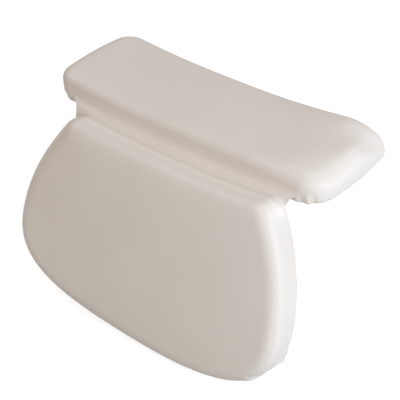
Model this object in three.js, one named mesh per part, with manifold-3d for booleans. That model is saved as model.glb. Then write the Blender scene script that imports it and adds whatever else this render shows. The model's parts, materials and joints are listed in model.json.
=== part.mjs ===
import * as THREE from 'three';
import { mergeVertices } from 'three/addons/utils/BufferGeometryUtils.js';
import Module from 'manifold-3d';

// Two-piece bath pillow. A rim flap lies on the edge of the tub and a D-shaped back panel hangs
// from it on a welded web. Each pad is a foam core between a formed vinyl skin, whose hem is
// turned in under the pad, and a flat back sheet that carries suction cups on studs.
// Millimetres, +Z up, +X along the fold, +Y away from the bather. The origin is on the tub's rim,
// under the middle of the flap's centre cup.

// Rim flap, measured over its skin
const FLAP_WIDTH = 330;
const FLAP_DEPTH = 110;
const FLAP_THICKNESS = 34;
const FLAP_CORNER_RADIUS = 20;
const FLAP_EDGE_RADIUS = 11;
const FLAP_END_EDGE_RADIUS = 16;
const FLAP_END_BULGE = 2.3;
const FLAP_CROWN = 2.5;
const FLAP_REAR_DRAW_IN = 1;

// Back panel, measured over its skin
const PANEL_WIDTH = 332;
const PANEL_HEIGHT = 191;
const PANEL_THICKNESS = 34;
const PANEL_EDGE_RADIUS = 16;
const PANEL_CROWN = 3;
const PANEL_TOP_STRAIGHT = 239;
const PANEL_TOP_CORNER_RADIUS = 16;
const PANEL_FLARE_ANGLE = 29;
const PANEL_WIDEST_DROP = 122;
const PANEL_BOTTOM_FULLNESS = 0.72;
const PANEL_FLANK_FULLNESS = 0.31;

// Skins, sheets and hem, the same on both pads
const SKIN_WALL = 0.9;
const HEM_RADIUS = 6;
const HEM_WIDTH = 8;
const SHEET_WALL = 0.8;
const CLEARANCE = 0.3;

// Welded web and the fold that the pillow is shown in
const WEB_WIDTH = 13;
const WEB_PLY = 0.7;
const WEB_LENGTH_ON_FLAP = 280;
const WEB_LENGTH_ON_PANEL = 256;
const WEB_END_HOLLOW = 1.5;
const WEB_LEVEL_ON_FLAP = 10;
const WEB_LEVEL_ON_PANEL = 6;
const CREASE_GAP = 0.6;
const FOLD_ANGLE = 73;

// Suction cups, their studs, and what the studs pass through
const CUP_DIAMETER = 50;
const CUP_HEIGHT = 13;
const CUP_WALL = 2.2;
const DISH_DEPTH = 7;
const LIP_LAND = 1.6;
const LIP_EDGE = 0.8;
const SHOULDER_DIAMETER = 16;
const STUD_DIAMETER = 7;
const STUD_CLEARANCE = 0.4;
const HEAD_DIAMETER = 12;
const HEAD_HEIGHT = 3.4;
const HEAD_EDGE = 1;
const PATCH_DIAMETER = 34;
const PATCH_WALL = 0.9;
const WASHER_DIAMETER = 20;
const WASHER_WALL = 1.2;

// Cup layout
const FLAP_CUP_ROW = FLAP_DEPTH / 2;
const FLAP_CUP_MARGIN = 60;
const FLAP_CUP_SPACING = FLAP_WIDTH / 2 - FLAP_CUP_MARGIN;
const PANEL_UPPER_ROW = 54;
const PANEL_UPPER_MARGIN = 71;
const PANEL_UPPER_REACH = PANEL_WIDTH / 2 - PANEL_UPPER_MARGIN;
const PANEL_LOWER_RISE = 53;
const PANEL_LOWER_ROW = PANEL_HEIGHT - PANEL_LOWER_RISE;
const PANEL_LOWER_MARGIN = 91;
const PANEL_LOWER_REACH = PANEL_WIDTH / 2 - PANEL_LOWER_MARGIN;

// Smoothness
const ROUND_STEPS = 20;
const CORNER_STEPS = 5;
const EDGE_STEPS = 8;
const SIDE_STEPS = 4;
const BOTTOM_STEPS = 9;
const FLANK_STEPS = 5;
const HOLLOW_STEPS = 7;
const ARC_ANGLES = [0, 22.5, 45, 67.5, 90];
const INNER_ARC_ANGLES = [0, 30, 60, 90];
const CROWN_SCALES = [0.7, 0.38];
const DISH_SHARES = [0, 0.4, 0.7, 0.88];
const DOME_SHARES = [0, 0.25, 0.6, 1];

// Heights above the underside of the hem
const SHEET_BASE = SKIN_WALL + CLEARANCE;
const SHEET_TOP = SHEET_BASE + SHEET_WALL;
const FOAM_BASE = SHEET_TOP + CLEARANCE;
const PATCH_TOP = SHEET_BASE - CLEARANCE;
const PATCH_BASE = PATCH_TOP - PATCH_WALL;
const SHOULDER_TOP = PATCH_BASE - CLEARANCE;
const LIP_PLANE = SHOULDER_TOP - CUP_HEIGHT;
const WASHER_BASE = SHEET_TOP + CLEARANCE;
const HEAD_BASE = WASHER_BASE + WASHER_WALL + CLEARANCE;
const POCKET_TOP = HEAD_BASE + HEAD_HEIGHT + CLEARANCE;

const STUD_HOLE_RADIUS = STUD_DIAMETER / 2 + STUD_CLEARANCE;
const FOAM_OFFSET = SKIN_WALL + CLEARANCE;

const wasm = await Module();
wasm.setup();

const vinyl = new THREE.MeshStandardMaterial({ color: 0xded6ce, roughness: 0.42, metalness: 0 });
const backVinyl = new THREE.MeshStandardMaterial({ color: 0xe2dcd6, roughness: 0.5, metalness: 0 });
const foam = new THREE.MeshStandardMaterial({ color: 0xf0e7c8, roughness: 0.95, metalness: 0 });
const cupVinyl = new THREE.MeshStandardMaterial({ color: 0xdfe3e4, roughness: 0.25, metalness: 0 });
const nylon = new THREE.MeshStandardMaterial({ color: 0xf2f1ec, roughness: 0.5, metalness: 0 });

function addPart(group, name, geometry, material) {
  const mesh = new THREE.Mesh(geometry, material);
  mesh.name = name;
  group.add(mesh);
  return mesh;
}

// Outlines run counter-clockwise. Each sample has a point, its outward normal, and the front edge's radius.

function sampleOutline(pieces, edgeRadius) {
  const samples = [];
  for (const [curve, steps] of pieces) {
    for (let step = 0; step < steps; step += 1) {
      const point = curve.getPoint(step / steps);
      const tangent = curve.getTangent(step / steps);
      const normal = new THREE.Vector2(tangent.y, -tangent.x);
      samples.push({ point, normal, edgeRadius: edgeRadius(normal) });
    }
  }
  return samples;
}

function cornerArc(x, y, radius, startDegrees, endDegrees) {
  const start = THREE.MathUtils.degToRad(startDegrees);
  const end = THREE.MathUtils.degToRad(endDegrees);
  return new THREE.EllipseCurve(x, y, radius, radius, start, end, false);
}

function line(x0, y0, x1, y1) {
  return new THREE.LineCurve(new THREE.Vector2(x0, y0), new THREE.Vector2(x1, y1));
}

// End of the flap, bulged outwards
function flapEnd(x, bulge, startY, endY) {
  return new THREE.QuadraticBezierCurve(
    new THREE.Vector2(x, startY),
    new THREE.Vector2(x + 2 * bulge, FLAP_DEPTH / 2),
    new THREE.Vector2(x, endY),
  );
}

// The flap's edge is rounder at its ends than along the web and the rear
function flapEdgeRadius(normal) {
  return FLAP_EDGE_RADIUS + (FLAP_END_EDGE_RADIUS - FLAP_EDGE_RADIUS) * normal.x ** 2;
}

function flapOutline() {
  const side = FLAP_WIDTH / 2 - FLAP_END_BULGE;
  const radius = FLAP_CORNER_RADIUS;
  const straight = side - radius;
  const rear = FLAP_DEPTH - radius;
  const rearEdge = new THREE.QuadraticBezierCurve(
    new THREE.Vector2(straight, FLAP_DEPTH),
    new THREE.Vector2(0, FLAP_DEPTH - 2 * FLAP_REAR_DRAW_IN),
    new THREE.Vector2(-straight, FLAP_DEPTH),
  );
  return sampleOutline([
    [line(-straight, 0, straight, 0), EDGE_STEPS],
    [cornerArc(straight, radius, radius, -90, 0), CORNER_STEPS],
    [flapEnd(side, FLAP_END_BULGE, radius, rear), SIDE_STEPS],
    [cornerArc(straight, rear, radius, 0, 90), CORNER_STEPS],
    [rearEdge, EDGE_STEPS],
    [cornerArc(-straight, rear, radius, 90, 180), CORNER_STEPS],
    [flapEnd(-side, -FLAP_END_BULGE, rear, radius), SIDE_STEPS],
    [cornerArc(-straight, radius, radius, 180, 270), CORNER_STEPS],
  ], flapEdgeRadius);
}

// One side of the panel's outline, from its bottom middle up to its top corner
function panelSide(mirror) {
  const half = PANEL_WIDTH / 2;
  const radius = PANEL_TOP_CORNER_RADIUS;
  const flare = THREE.MathUtils.degToRad(PANEL_FLARE_ANGLE);
  const belowWidest = PANEL_HEIGHT - PANEL_WIDEST_DROP;
  const handle = PANEL_FLANK_FULLNESS * PANEL_WIDEST_DROP;
  const flankTop = new THREE.Vector2(
    PANEL_TOP_STRAIGHT / 2 + radius * Math.cos(flare),
    radius * Math.sin(flare) - radius,
  );
  const points = [
    new THREE.Vector2(0, -PANEL_HEIGHT),
    new THREE.Vector2(half * PANEL_BOTTOM_FULLNESS, -PANEL_HEIGHT),
    new THREE.Vector2(half, -PANEL_WIDEST_DROP - belowWidest * PANEL_BOTTOM_FULLNESS),
    new THREE.Vector2(half, -PANEL_WIDEST_DROP),
    new THREE.Vector2(half, -PANEL_WIDEST_DROP + handle),
    new THREE.Vector2(flankTop.x + handle * Math.sin(flare), flankTop.y - handle * Math.cos(flare)),
    flankTop,
  ];
  for (const point of points) {
    point.x *= mirror;
  }
  return points;
}

function panelOutline() {
  const right = panelSide(1);
  const left = panelSide(-1).reverse();
  const straight = PANEL_TOP_STRAIGHT / 2;
  const radius = PANEL_TOP_CORNER_RADIUS;
  return sampleOutline([
    [new THREE.CubicBezierCurve(...right.slice(0, 4)), BOTTOM_STEPS],
    [new THREE.CubicBezierCurve(...right.slice(3, 7)), FLANK_STEPS],
    [cornerArc(straight, -radius, radius, PANEL_FLARE_ANGLE, 90), CORNER_STEPS],
    [line(straight, 0, -straight, 0), EDGE_STEPS],
    [cornerArc(-straight, -radius, radius, 90, 180 - PANEL_FLARE_ANGLE), CORNER_STEPS],
    [new THREE.CubicBezierCurve(...left.slice(0, 4)), FLANK_STEPS],
    [new THREE.CubicBezierCurve(...left.slice(3, 7)), BOTTOM_STEPS],
  ], () => PANEL_EDGE_RADIUS);
}

// Lofted pads

function ring(outline, inset, height) {
  return outline.map(({ point, normal }) => new THREE.Vector3(
    point.x - normal.x * inset,
    point.y - normal.y * inset,
    height,
  ));
}

function shrunkRing(source, centre, scale, height) {
  return source.map((point) => new THREE.Vector3(
    centre.x + (point.x - centre.x) * scale,
    centre.y + (point.y - centre.y) * scale,
    height,
  ));
}

// Two triangles, split along the shorter diagonal, so that parallel walls are split alike
function splitFace(points, a, b, c, d) {
  if (points[a].distanceTo(points[c]) < points[b].distanceTo(points[d])) {
    return [a, b, c, a, c, d];
  }
  return [a, b, d, b, c, d];
}

// Closed surface from one pole, through rings of equal length, to the other pole
function closedLoft(startPole, rings, endPole) {
  const count = rings[0].length;
  const points = [startPole, ...rings.flat(), endPole];
  const last = points.length - 1;
  const index = [];
  for (let j = 0; j < count; j += 1) {
    const next = (j + 1) % count;
    index.push(0, 1 + next, 1 + j);
    for (let i = 0; i < rings.length - 1; i += 1) {
      const low = 1 + i * count;
      const high = low + count;
      index.push(...splitFace(points, low + j, low + next, high + next, high + j));
    }
    const top = 1 + (rings.length - 1) * count;
    index.push(top + j, top + next, last);
  }
  const geometry = new THREE.BufferGeometry().setFromPoints(points);
  geometry.setIndex(index);
  geometry.computeVertexNormals();
  return geometry;
}

// Rings round the hem's bend, at a set distance inside the skin's outer face
function hemRings(pad, offset, angles) {
  return angles.map((degrees) => {
    const angle = THREE.MathUtils.degToRad(degrees);
    const radius = HEM_RADIUS - offset;
    return ring(pad.outline, HEM_RADIUS - radius * Math.sin(angle), HEM_RADIUS - radius * Math.cos(angle));
  });
}

// Rings over the pad's rounded front edge
function edgeRings(pad, offset, angles) {
  return angles.map((degrees) => {
    const angle = THREE.MathUtils.degToRad(degrees);
    return pad.outline.map(({ point, normal, edgeRadius }) => {
      const radius = edgeRadius - offset;
      const inset = edgeRadius - radius * Math.cos(angle);
      const height = pad.thickness - edgeRadius + radius * Math.sin(angle);
      return new THREE.Vector3(point.x - normal.x * inset, point.y - normal.y * inset, height);
    });
  });
}

// Rings and pole of the crowned front face
function crown(pad, edgeRing, offset) {
  const base = pad.thickness - offset;
  const rings = CROWN_SCALES.map((scale) => shrunkRing(
    edgeRing,
    pad.centre,
    scale,
    base + pad.crown * (1 - scale * scale),
  ));
  const pole = new THREE.Vector3(pad.centre.x, pad.centre.y, base + pad.crown);
  return { rings, pole };
}

// Formed skin: front face, side walls and the hem that is turned in under the pad
function skinGeometry(pad) {
  const hemEdge = HEM_RADIUS + HEM_WIDTH;
  const outerEdge = edgeRings(pad, 0, ARC_ANGLES);
  const outerCrown = crown(pad, outerEdge.at(-1), 0);
  const innerEdge = edgeRings(pad, SKIN_WALL, INNER_ARC_ANGLES);
  const innerCrown = crown(pad, innerEdge.at(-1), SKIN_WALL);
  const inside = [
    ...innerCrown.rings.reverse(),
    ...innerEdge.reverse(),
    ...hemRings(pad, SKIN_WALL, INNER_ARC_ANGLES).reverse(),
    ring(pad.outline, hemEdge, SKIN_WALL),
  ];
  const outside = [
    ring(pad.outline, hemEdge, 0),
    ...hemRings(pad, 0, ARC_ANGLES),
    ...outerEdge,
    ...outerCrown.rings,
  ];
  return closedLoft(innerCrown.pole, [...inside, ...outside], outerCrown.pole);
}

function toManifold(geometry) {
  const bare = geometry.clone();
  bare.deleteAttribute('normal');
  bare.deleteAttribute('uv');
  const merged = mergeVertices(bare);
  return new wasm.Manifold(new wasm.Mesh({
    numProp: 3,
    vertProperties: new Float32Array(merged.attributes.position.array),
    triVerts: new Uint32Array(merged.index.array),
  }));
}

function fromManifold(solid) {
  const mesh = solid.getMesh();
  const geometry = new THREE.BufferGeometry();
  geometry.setAttribute('position', new THREE.BufferAttribute(mesh.vertProperties, 3));
  geometry.setIndex(new THREE.BufferAttribute(mesh.triVerts, 1));
  geometry.computeVertexNormals();
  return geometry;
}

// Foam block that fills the skin, with a pocket over each stud's head and washer
function foamGeometry(pad) {
  const bend = (HEM_RADIUS - FOAM_BASE) / (HEM_RADIUS - FOAM_OFFSET);
  const firstAngle = THREE.MathUtils.radToDeg(Math.acos(bend));
  const edge = edgeRings(pad, FOAM_OFFSET, INNER_ARC_ANGLES);
  const front = crown(pad, edge.at(-1), FOAM_OFFSET);
  const rings = [...hemRings(pad, FOAM_OFFSET, [firstAngle, 90]), ...edge, ...front.rings];
  const base = new THREE.Vector3(pad.centre.x, pad.centre.y, FOAM_BASE);
  let solid = toManifold(closedLoft(base, rings, front.pole));
  const pocketRadius = WASHER_DIAMETER / 2 + 2 * CLEARANCE;
  const pocketHeight = 2 * (POCKET_TOP - FOAM_BASE);
  for (const { x, y } of pad.cups) {
    const pocket = new THREE.CylinderGeometry(pocketRadius, pocketRadius, pocketHeight, ROUND_STEPS);
    pocket.rotateX(Math.PI / 2);
    pocket.translate(x, y, FOAM_BASE);
    solid = solid.subtract(toManifold(pocket));
  }
  return fromManifold(solid);
}

// Flat sheet that closes the back, pierced for the studs
function sheetGeometry(pad) {
  const corners = ring(pad.outline, HEM_RADIUS, 0);
  const shape = new THREE.Shape(corners.map((corner) => new THREE.Vector2(corner.x, corner.y)));
  for (const { x, y } of pad.cups) {
    const hole = new THREE.Path();
    hole.absarc(x, y, STUD_HOLE_RADIUS, 0, 2 * Math.PI, true);
    shape.holes.push(hole);
  }
  const geometry = new THREE.ExtrudeGeometry(shape, {
    depth: SHEET_WALL,
    bevelEnabled: false,
    curveSegments: ROUND_STEPS / 2,
  });
  geometry.translate(0, 0, SHEET_BASE);
  return geometry;
}

// Suction cups and their fixings

function turned(profile) {
  const points = profile.map(([radius, height]) => new THREE.Vector2(radius, height));
  const geometry = new THREE.LatheGeometry(points, ROUND_STEPS);
  geometry.rotateX(Math.PI / 2);
  return geometry;
}

// Flat ring with a bore that clears the stud
function ringGeometry(diameter, wall, base) {
  const outer = diameter / 2;
  return turned([
    [STUD_HOLE_RADIUS, base],
    [outer, base],
    [outer, base + wall],
    [STUD_HOLE_RADIUS, base + wall],
    [STUD_HOLE_RADIUS, base],
  ]);
}

// Cup with a flat sealing land, a dish, a shoulder that bears on the patch, and a headed stud
function cupGeometry() {
  const rim = CUP_DIAMETER / 2;
  const dish = rim - LIP_LAND;
  const shoulder = SHOULDER_DIAMETER / 2;
  const stud = STUD_DIAMETER / 2;
  const head = HEAD_DIAMETER / 2;
  const dishHeight = (radius) => DISH_DEPTH * (1 - (radius / dish) ** 2);
  const domeRise = DISH_DEPTH + CUP_WALL - LIP_EDGE;
  const domeHeight = (radius) => LIP_EDGE + domeRise * (1 - (radius / rim) ** 2);
  const inside = DISH_SHARES.map((share) => [dish * share, LIP_PLANE + dishHeight(dish * share)]);
  const outside = DOME_SHARES.map((share) => {
    const radius = rim + (shoulder - rim) * share;
    return [radius, LIP_PLANE + domeHeight(radius)];
  });
  return turned([
    ...inside,
    [dish, LIP_PLANE],
    [rim, LIP_PLANE],
    ...outside,
    [shoulder, SHOULDER_TOP],
    [stud, SHOULDER_TOP],
    [stud, HEAD_BASE],
    [head, HEAD_BASE],
    [head, HEAD_BASE + HEAD_EDGE],
    [stud, HEAD_BASE + HEAD_HEIGHT],
    [0, HEAD_BASE + HEAD_HEIGHT],
  ]);
}

function addPad(group, pad) {
  addPart(group, `${pad.name}_front_skin`, skinGeometry(pad), vinyl);
  addPart(group, `${pad.name}_foam_core`, foamGeometry(pad), foam);
  addPart(group, `${pad.name}_back_sheet`, sheetGeometry(pad), backVinyl);
  for (const { place, x, y } of pad.cups) {
    const cup = addPart(group, `${pad.name}_cup_${place}`, cupGeometry(), cupVinyl);
    const patchRing = ringGeometry(PATCH_DIAMETER, PATCH_WALL, PATCH_BASE);
    const patch = addPart(group, `${pad.name}_patch_${place}`, patchRing, backVinyl);
    const washerRing = ringGeometry(WASHER_DIAMETER, WASHER_WALL, WASHER_BASE);
    const washer = addPart(group, `${pad.name}_washer_${place}`, washerRing, nylon);
    for (const mesh of [cup, patch, washer]) {
      mesh.position.set(x, y, 0);
    }
  }
}

// Two welded plies between the pads, drawn in at their ends
function addWeb(group) {
  const nearHalf = WEB_LENGTH_ON_FLAP / 2;
  const farHalf = WEB_LENGTH_ON_PANEL / 2;
  const near = -CREASE_GAP;
  const far = CREASE_GAP - WEB_WIDTH;
  const waist = (nearHalf + farHalf) / 2 - 2 * WEB_END_HOLLOW;
  const shape = new THREE.Shape();
  shape.moveTo(farHalf, far);
  shape.quadraticCurveTo(waist, -WEB_WIDTH / 2, nearHalf, near);
  shape.lineTo(-nearHalf, near);
  shape.quadraticCurveTo(-waist, -WEB_WIDTH / 2, -farHalf, far);
  shape.closePath();
  const settings = { depth: WEB_PLY, bevelEnabled: false, curveSegments: HOLLOW_STEPS };
  const front = addPart(group, 'hinge_web_front_ply', new THREE.ExtrudeGeometry(shape, settings), vinyl);
  front.position.z = CLEARANCE / 2;
  const back = addPart(group, 'hinge_web_back_ply', new THREE.ExtrudeGeometry(shape, settings), backVinyl);
  back.position.z = -CLEARANCE / 2 - WEB_PLY;
}

const flapPad = {
  name: 'flap',
  outline: flapOutline(),
  centre: new THREE.Vector2(0, FLAP_DEPTH / 2),
  thickness: FLAP_THICKNESS,
  crown: FLAP_CROWN,
  cups: [
    { place: 'left', x: -FLAP_CUP_SPACING, y: FLAP_CUP_ROW },
    { place: 'centre', x: 0, y: FLAP_CUP_ROW },
    { place: 'right', x: FLAP_CUP_SPACING, y: FLAP_CUP_ROW },
  ],
};

const panelPad = {
  name: 'panel',
  outline: panelOutline(),
  centre: new THREE.Vector2(0, -PANEL_HEIGHT / 2),
  thickness: PANEL_THICKNESS,
  crown: PANEL_CROWN,
  cups: [
    { place: 'upper_left', x: -PANEL_UPPER_REACH, y: -PANEL_UPPER_ROW },
    { place: 'upper_right', x: PANEL_UPPER_REACH, y: -PANEL_UPPER_ROW },
    { place: 'lower_left', x: -PANEL_LOWER_REACH, y: -PANEL_LOWER_ROW },
    { place: 'lower_right', x: PANEL_LOWER_REACH, y: -PANEL_LOWER_ROW },
  ],
};

// The pads and the web are laid out flat, then folded at the two creases
const creaseTurn = THREE.MathUtils.degToRad(FOLD_ANGLE / 2);
const pillow = new THREE.Group();

const flap = new THREE.Group();
flap.position.set(0, -FLAP_CUP_ROW, -LIP_PLANE);
addPad(flap, flapPad);
pillow.add(flap);

const web = new THREE.Group();
web.position.set(0, -FLAP_CUP_ROW - CREASE_GAP, WEB_LEVEL_ON_FLAP - LIP_PLANE);
web.rotation.x = creaseTurn;
addWeb(web);
pillow.add(web);

const panelCrease = new THREE.Group();
panelCrease.position.set(0, -WEB_WIDTH, 0);
panelCrease.rotation.x = creaseTurn;
web.add(panelCrease);

const panel = new THREE.Group();
panel.position.set(0, -CREASE_GAP, -WEB_LEVEL_ON_PANEL);
addPad(panel, panelPad);
panelCrease.add(panel);

export default pillow;
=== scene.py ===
import json
import math
from collections import namedtuple

import bmesh
import bpy
import numpy as np
from mathutils import Matrix, Vector
from mathutils.geometry import delaunay_2d_cdt
from mathutils.kdtree import KDTree

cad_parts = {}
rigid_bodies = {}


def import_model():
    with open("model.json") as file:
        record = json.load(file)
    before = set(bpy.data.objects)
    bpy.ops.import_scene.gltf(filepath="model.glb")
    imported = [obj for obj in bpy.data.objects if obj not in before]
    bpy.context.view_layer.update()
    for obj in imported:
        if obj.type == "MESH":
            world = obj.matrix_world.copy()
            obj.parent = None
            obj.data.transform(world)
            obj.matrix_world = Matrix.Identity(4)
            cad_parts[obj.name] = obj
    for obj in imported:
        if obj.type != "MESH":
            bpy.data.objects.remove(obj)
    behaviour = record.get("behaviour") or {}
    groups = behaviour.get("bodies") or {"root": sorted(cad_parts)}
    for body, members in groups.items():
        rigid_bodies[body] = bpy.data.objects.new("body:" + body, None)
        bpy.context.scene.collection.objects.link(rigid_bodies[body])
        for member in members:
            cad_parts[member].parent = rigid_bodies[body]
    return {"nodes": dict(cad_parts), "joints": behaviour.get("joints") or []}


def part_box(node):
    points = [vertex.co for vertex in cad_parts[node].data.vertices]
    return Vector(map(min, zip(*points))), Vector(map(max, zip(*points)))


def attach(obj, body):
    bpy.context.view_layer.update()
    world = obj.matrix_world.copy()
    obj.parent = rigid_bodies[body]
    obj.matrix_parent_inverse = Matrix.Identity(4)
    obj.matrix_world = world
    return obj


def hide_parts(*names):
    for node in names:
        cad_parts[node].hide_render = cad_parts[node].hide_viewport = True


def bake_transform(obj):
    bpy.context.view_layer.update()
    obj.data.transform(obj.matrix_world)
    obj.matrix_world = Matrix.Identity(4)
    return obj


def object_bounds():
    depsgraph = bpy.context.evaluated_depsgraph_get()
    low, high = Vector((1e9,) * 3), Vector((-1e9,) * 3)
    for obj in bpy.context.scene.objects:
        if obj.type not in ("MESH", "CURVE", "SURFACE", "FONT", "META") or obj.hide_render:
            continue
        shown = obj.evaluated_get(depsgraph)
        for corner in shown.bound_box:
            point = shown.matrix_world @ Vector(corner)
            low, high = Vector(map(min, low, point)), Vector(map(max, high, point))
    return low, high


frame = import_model()
cad_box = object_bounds()

# Bath pillow: two foam pads in smooth ivory vinyl on a welded web, with suction cups behind.
# Each pad is shaped flat in its own frame, filled like a cushion, then set in its place. In that frame
# x runs along the fold, y across it, and z from the pad's back to its front.

MM = 0.001

# Both pads
PAD_THICKNESS = 34 * MM
SKIN_WALL = 0.9 * MM
HEM_EDGE = 14 * MM
BACK_LEVEL = 1 * MM
TAPER_FROM = 3 * MM
SHARP_ANGLE = math.radians(50)

# Rim flap, softer and rounder at its +x end
FLAP_FRONT_CORNER = 17 * MM
FLAP_SOFT_FRONT_CORNER = 26 * MM
FLAP_REAR_CORNER = 20 * MM
FLAP_SOFT_REAR_CORNER = 12 * MM
FLAP_SOFT_FLARE = -0.3 * MM
FLAP_REAR_DRAW_IN = 0.2 * MM
FLAP_END_BULGE = 2.1 * MM
FLAP_FRONT_EDGE_RADIUS = 7 * MM
FLAP_EDGE_RADIUS = 12 * MM
FLAP_CORNER_EDGE_RADIUS = 14 * MM
FLAP_HEM_RADIUS = 9.9 * MM
FLAP_CORNER_HEM_RADIUS = 12.5 * MM
FLAP_CROWN = 2.5 * MM
FLAP_SOFT_REAR_EDGE_RADIUS = 8 * MM
FLAP_SOFT_EDGE_RADIUS = 18 * MM
FLAP_SOFT_HEM_RADIUS = 6 * MM
FLAP_SOFT_REAR_HEM_RADIUS = 11 * MM
FLAP_SOFT_FROM = 80 * MM
FLAP_SOFT_TO = 150 * MM

# Droop of the flap's soft end, and the swell before it. A turn is where, as a share of the flap's depth
# from its front, one value gives way to the next.
FLAP_DROOP = 9 * MM
FLAP_DROOP_AT_MIDDLE = 0.1
FLAP_DROOP_AT_REAR = 2.7
FLAP_DROOP_REACH = 52 * MM
FLAP_DROOP_REACH_AT_REAR = 46 * MM
FLAP_DROOP_MIDDLE_TURN = (0.2, 0.6)
FLAP_DROOP_REAR_TURN = (0.5, 1)
FLAP_DROOP_REACH_TURN = (0.1, 0.5)
FLAP_SWELL = 2 * MM
FLAP_SWELL_AT = 100 * MM
FLAP_SWELL_SPREAD = 45 * MM
FLAP_SWELL_TURN = (0.4, 0.9)

# Back panel, with a softer top corner on its -x side and a crisper edge on its +x side
PANEL_EDGE_RADIUS = 16 * MM
PANEL_TOP_EDGE_RADIUS = 6 * MM
PANEL_TOP_EDGE_DEPTH = 12 * MM
PANEL_TOP_EDGE_POWER = 3
PANEL_CRISP_EDGE_RADIUS = 11 * MM
PANEL_CRISP_BLEND = 80 * MM
PANEL_CORNER_EDGE_RADIUS = 21 * MM
PANEL_CORNER_SPREAD = 42 * MM
PANEL_HEM_RADIUS = 4.4 * MM
PANEL_CROWN = 2.5 * MM
PANEL_TOP_STRAIGHT = 231 * MM
PANEL_TOP_CORNER_RADIUS = 19 * MM
PANEL_SOFT_CORNER_RADIUS = 24 * MM
PANEL_SOFT_CORNER_SHIFT = 6.5 * MM
PANEL_TOP_RISE = 4 * MM
PANEL_TOP_END_RISE = 1 * MM
PANEL_FLARE = math.radians(32)
PANEL_WIDEST_DROP = 121.5 * MM
PANEL_BOTTOM_FULLNESS = 0.725
PANEL_FLANK_FULLNESS = 0.32
PANEL_BOTTOM_DRAW_IN = 4 * MM
PANEL_LEAN = 1.5 * MM
PANEL_LEAN_REACH = 18 * MM

# Fineness of the pads' outlines and of the blocks made from them
OUTLINE_STEP = 1.5 * MM
CURVE_POINTS = 200
ARC_POINTS = 60
HEM_RINGS = 6
EDGE_RINGS = 7
CROWN_SCALES = (0.85, 0.65, 0.4, 0.2)

# Filling of the pads, and the trim that brings their walls back to the outline
FILL_QUAD = 3.2 * MM
FILL_SLACK = 0.5 * MM
FILL_STRETCH = 0.012
FILL_PRESSURE = 4
FILL_FRAMES = 20
FILL_REACH = 2.4 * MM
FILL_SPREAD = 38
FILL_CROWN_SHARE = 0.3
COVER_QUALITY = 6
COVER_STIFFNESS = 12
COVER_BENDING = 2
HELD_FROM = 0.9
WEB_HOLD = 14 * MM
TRIM_DEPTH = 15 * MM
TRIM_SPREAD = 12
TRIM_HEM_SHARE = 0.7
TRIM_EDGE_FADE = (0.3, 0.8)
TRIM_LEAST_WEIGHT = 0.001
TRIM_FULL_WEIGHT = 0.5

# Pleats and gathers of the turned hem
Pleat = namedtuple("Pleat", "x y depth run low high")


def pleat(*sizes):
    """Pleat at a point on the pad's edge, in millimetres, with its depth, run, lowest and highest point.
    It is deepest at its point and runs out counter-clockwise, or clockwise where its run is negative."""
    return Pleat(*(size * MM for size in sizes))


PANEL_PLEATS = [
    pleat(146.3, -163.3, 5.2, 11, 0, 26),
    pleat(161, -146, 4.4, -12, 0, 18),
    pleat(165, -131, 1.2, 9, 0, 11),
    pleat(127, -175, 0.8, 7, 0, 9),
    pleat(-145, -164.5, 2.8, -18, 0, 16),
    pleat(-160, -147, 2.4, -12, 0, 14),
    pleat(-127, -175, 0.8, -7, 0, 9),
]
FLAP_PLEATS = [
    pleat(139, 0, 1.4, 7, 1, 11),
    pleat(150, 3, 1.6, 7, 2, 13),
    pleat(164, 33, 1.6, 6, 4, 17),
    pleat(163, 96, 0.9, 5, 0, 8),
    pleat(-150, 1, 1.4, -6, 0, 10),
    pleat(-162, 98, 1.2, -6, 0, 10),
]
PLEAT_LIP = 1.0 * MM
PLEAT_LOBE = 3.5 * MM
PLEAT_BULGE = 0.45
PLEAT_FOOT_FADE = (-4 * MM, 1 * MM)
PLEAT_HEAD_FADE = (0.6, 1.4)
HEM_FADE = (4 * MM, 12 * MM)
GATHER_DEPTH = 0.25 * MM
GATHER_PITCH = 11 * MM
GATHER_TOP = 9 * MM
GATHER_CORNER_RADIUS = 20 * MM
GATHER_CORNER_STEPS = 4
GATHER_RIPPLE = 0.6
GATHER_RIPPLE_RATE = 1.52
GATHER_RIPPLE_SHIFT = 1.3

# How the pillow has settled: its ends stand higher than its middle
BOW_RISE = 9 * MM
BOW_POWER = 2.6
BOW_HALF_WIDTH = 165 * MM

# The panel's wings stand back at its top and forward at its bottom
WING_TOP = -1.9 * MM
WING_BOTTOM = 2.3 * MM
WING_DROP = 190 * MM

# Web: its size, its bends at the flap's wall and the panel's ledge, and the lap welded to the panel
WEB_HALF_ON_FLAP = 139.5 * MM
WEB_HALF_ON_PANEL = 129 * MM
WEB_END_HOLLOW = 2 * MM
WEB_SPLIT = 0.27
WEB_FRONT = 0.85 * MM
WEB_PLY = 0.7 * MM
PLY_PITCH = 1 * MM
WALL_BEND = 7 * MM
WEB_BEND = 2.6 * MM
LEDGE_BEND = 4 * MM
LEDGE_LAP = 4.5 * MM
LAP_DIP = 0.5 * MM
LEDGE_PROUD = 0.3 * MM
WEB_BURY = 0.15 * MM
# Reach of the painted light by the weld, on the web's lower half and on the panel's ledge
PAINTED_LIGHT_WEB_SPREAD = 3.5 * MM
PAINTED_LIGHT_LEDGE_SPREAD = 11 * MM
TOP_EDGE_FACING = 0.3
WEB_FOLLOW_TURN = (0.4, 1)
WEB_POINTS = 101
WEB_FLAT_POINTS = 4
WALL_BEND_POINTS = 20
LEDGE_BEND_POINTS = 14
LAP_POINTS = 6

# Back sheets, and how they and the foam lie flat round the studs
SHEET_BASE = 1.2 * MM
SHEET_WALL = 0.8 * MM
SHEET_INSET = 8 * MM
SHEET_GRID = 5 * MM
SHEET_OUTLINE_STRIDE = 3
TRIANGLES_INSIDE = 4
SHEET_MERGE = 1e-6
FLAT_ROUND_STUD = 19 * MM
SETTLED_FROM_STUD = 36 * MM
STUD_HOLD_HEIGHT = (8 * MM, 26 * MM)

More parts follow.
